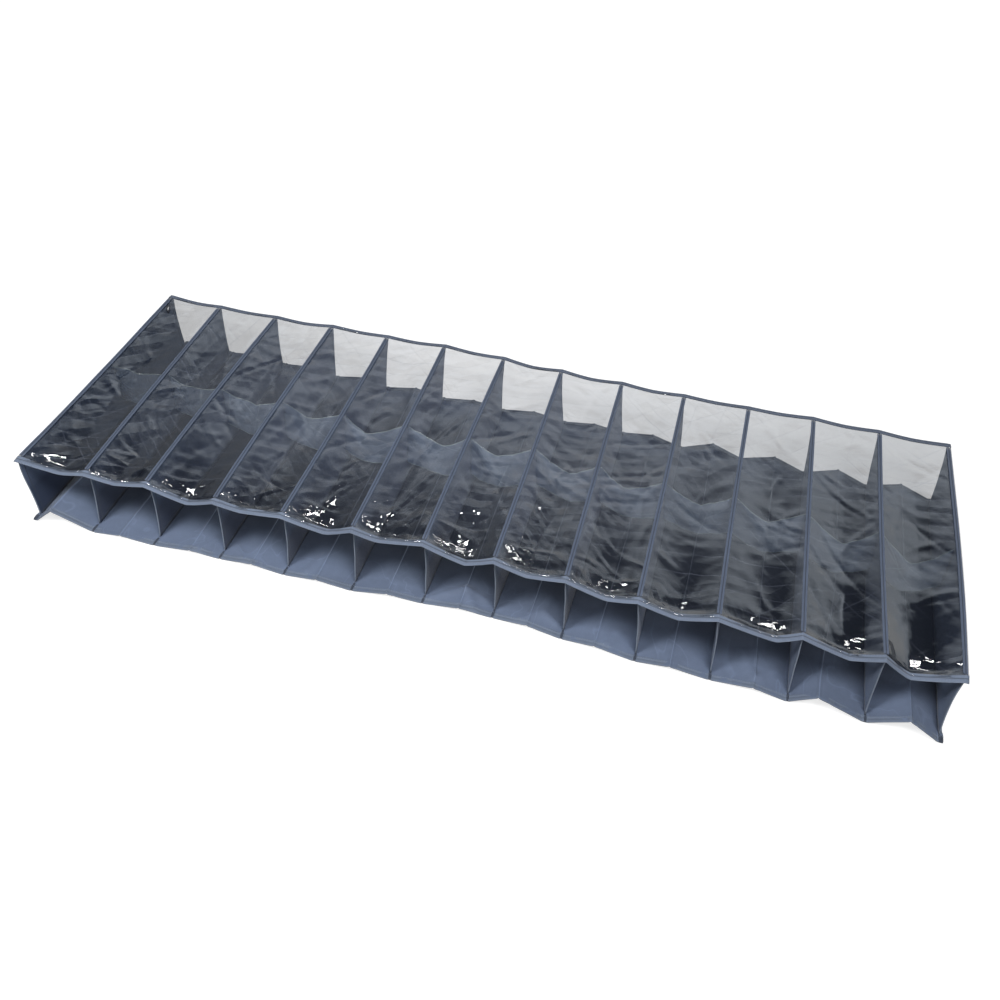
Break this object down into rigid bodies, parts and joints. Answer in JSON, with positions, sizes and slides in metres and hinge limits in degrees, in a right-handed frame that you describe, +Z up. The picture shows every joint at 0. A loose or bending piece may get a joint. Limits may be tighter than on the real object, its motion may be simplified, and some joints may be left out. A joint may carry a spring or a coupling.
{
  "type": "shoe organizer",
  "caption": "Long folding fabric shoe organizer: a row of narrow bays open at front and back under a clear creased cover, each with a clear stop strip across its middle.",
  "frame": {"origin": "middle of the footprint, at the level the organizer rests on", "axes": "+X along the row of bays, the front opening towards -Y, +Z up from the floor sheet to the clear cover"},
  "size_m": [1.6036, 0.53, 0.14],
  "materials": {
    "wall_fabric": "woven blue-grey polyester over board, slightly glossy coating",
    "floor_fabric": "woven blue-grey polyester, creased",
    "edge_tape": "folded woven binding, two rows of stitches",
    "wall_tape": "folded dark slate binding, stitched",
    "clear_film": "soft clear PVC film, glossy and wrinkled",
    "eyelet_metal": "dark painted eyelet"
  },
  "bodies": {
    "wall_01": {"wall_01": "wall_fabric", "wall_tape_01": "wall_tape", "stop_strip_01": "clear_film", "floor_sheet": "floor_fabric", "front_floor_hem": "edge_tape", "back_floor_hem": "edge_tape", "clear_cover": "clear_film", "front_top_binding": "edge_tape", "back_top_binding": "wall_tape", "hanging_eyelet": "eyelet_metal"},
    "wall_02": {"wall_02": "wall_fabric", "wall_tape_02": "wall_tape", "stop_strip_02": "clear_film"},
    "wall_03": {"wall_03": "wall_fabric", "wall_tape_03": "wall_tape", "stop_strip_03": "clear_film"},
    "wall_04": {"wall_04": "wall_fabric", "wall_tape_04": "wall_tape", "stop_strip_04": "clear_film"},
    "wall_05": {"wall_05": "wall_fabric", "wall_tape_05": "wall_tape", "stop_strip_05": "clear_film"},
    "wall_06": {"wall_06": "wall_fabric", "wall_tape_06": "wall_tape", "stop_strip_06": "clear_film"},
    "wall_07": {"wall_07": "wall_fabric", "wall_tape_07": "wall_tape", "stop_strip_07": "clear_film"},
    "wall_08": {"wall_08": "wall_fabric", "wall_tape_08": "wall_tape", "stop_strip_08": "clear_film"},
    "wall_09": {"wall_09": "wall_fabric", "wall_tape_09": "wall_tape", "stop_strip_09": "clear_film"},
    "wall_10": {"wall_10": "wall_fabric", "wall_tape_10": "wall_tape", "stop_strip_10": "clear_film"},
    "wall_11": {"wall_11": "wall_fabric", "wall_tape_11": "wall_tape", "stop_strip_11": "clear_film"},
    "wall_12": {"wall_12": "wall_fabric", "wall_tape_12": "wall_tape", "stop_strip_12": "clear_film"},
    "wall_13": {"wall_13": "wall_fabric", "wall_tape_13": "wall_tape", "stop_strip_13": "clear_film"},
    "wall_14": {"wall_14": "wall_fabric", "wall_tape_14": "wall_tape"}
  },
  "joints": [
    {"name": "bay_01_fold", "type": "slide", "parent": "wall_01", "child": "wall_02", "axis": [-1, 0, 0], "range_m": [0, 0.102], "deforming": ["stop_strip_01", "floor_sheet", "front_floor_hem", "back_floor_hem", "clear_cover", "front_top_binding", "back_top_binding"]},
    {"name": "bay_02_fold", "type": "slide", "parent": "wall_02", "child": "wall_03", "axis": [-1, 0, 0], "range_m": [0, 0.102], "deforming": ["stop_strip_02"]},
    {"name": "bay_03_fold", "type": "slide", "parent": "wall_03", "child": "wall_04", "axis": [-1, 0, 0], "range_m": [0, 0.102], "deforming": ["stop_strip_03"]},
    {"name": "bay_04_fold", "type": "slide", "parent": "wall_04", "child": "wall_05", "axis": [-1, 0, 0], "range_m": [0, 0.102], "deforming": ["stop_strip_04"]},
    {"name": "bay_05_fold", "type": "slide", "parent": "wall_05", "child": "wall_06", "axis": [-1, 0, 0], "range_m": [0, 0.102], "deforming": ["stop_strip_05"]},
    {"name": "bay_06_fold", "type": "slide", "parent": "wall_06", "child": "wall_07", "axis": [-1, 0, 0], "range_m": [0, 0.102], "deforming": ["stop_strip_06"]},
    {"name": "bay_07_fold", "type": "slide", "parent": "wall_07", "child": "wall_08", "axis": [-1, 0, 0], "range_m": [0, 0.102], "deforming": ["stop_strip_07"]},
    {"name": "bay_08_fold", "type": "slide", "parent": "wall_08", "child": "wall_09", "axis": [-1, 0, 0], "range_m": [0, 0.102], "deforming": ["stop_strip_08"]},
    {"name": "bay_09_fold", "type": "slide", "parent": "wall_09", "child": "wall_10", "axis": [-1, 0, 0], "range_m": [0, 0.102], "deforming": ["stop_strip_09"]},
    {"name": "bay_10_fold", "type": "slide", "parent": "wall_10", "child": "wall_11", "axis": [-1, 0, 0], "range_m": [0, 0.102], "deforming": ["stop_strip_10"]},
    {"name": "bay_11_fold", "type": "slide", "parent": "wall_11", "child": "wall_12", "axis": [-1, 0, 0], "range_m": [0, 0.102], "deforming": ["stop_strip_11"]},
    {"name": "bay_12_fold", "type": "slide", "parent": "wall_12", "child": "wall_13", "axis": [-1, 0, 0], "range_m": [0, 0.102], "deforming": ["stop_strip_12"]},
    {"name": "bay_13_fold", "type": "slide", "parent": "wall_13", "child": "wall_14", "axis": [-1, 0, 0], "range_m": [0, 0.102], "deforming": ["stop_strip_13"]}
  ],
  "couplings": [
    {"joint": "bay_02_fold", "follows": "bay_01_fold", "ratio": 1},
    {"joint": "bay_03_fold", "follows": "bay_01_fold", "ratio": 1},
    {"joint": "bay_04_fold", "follows": "bay_01_fold", "ratio": 1},
    {"joint": "bay_05_fold", "follows": "bay_01_fold", "ratio": 1},
    {"joint": "bay_06_fold", "follows": "bay_01_fold", "ratio": 1},
    {"joint": "bay_07_fold", "follows": "bay_01_fold", "ratio": 1},
    {"joint": "bay_08_fold", "follows": "bay_01_fold", "ratio": 1},
    {"joint": "bay_09_fold", "follows": "bay_01_fold", "ratio": 1},
    {"joint": "bay_10_fold", "follows": "bay_01_fold", "ratio": 1},
    {"joint": "bay_11_fold", "follows": "bay_01_fold", "ratio": 1},
    {"joint": "bay_12_fold", "follows": "bay_01_fold", "ratio": 1},
    {"joint": "bay_13_fold", "follows": "bay_01_fold", "ratio": 1}
  ]
}
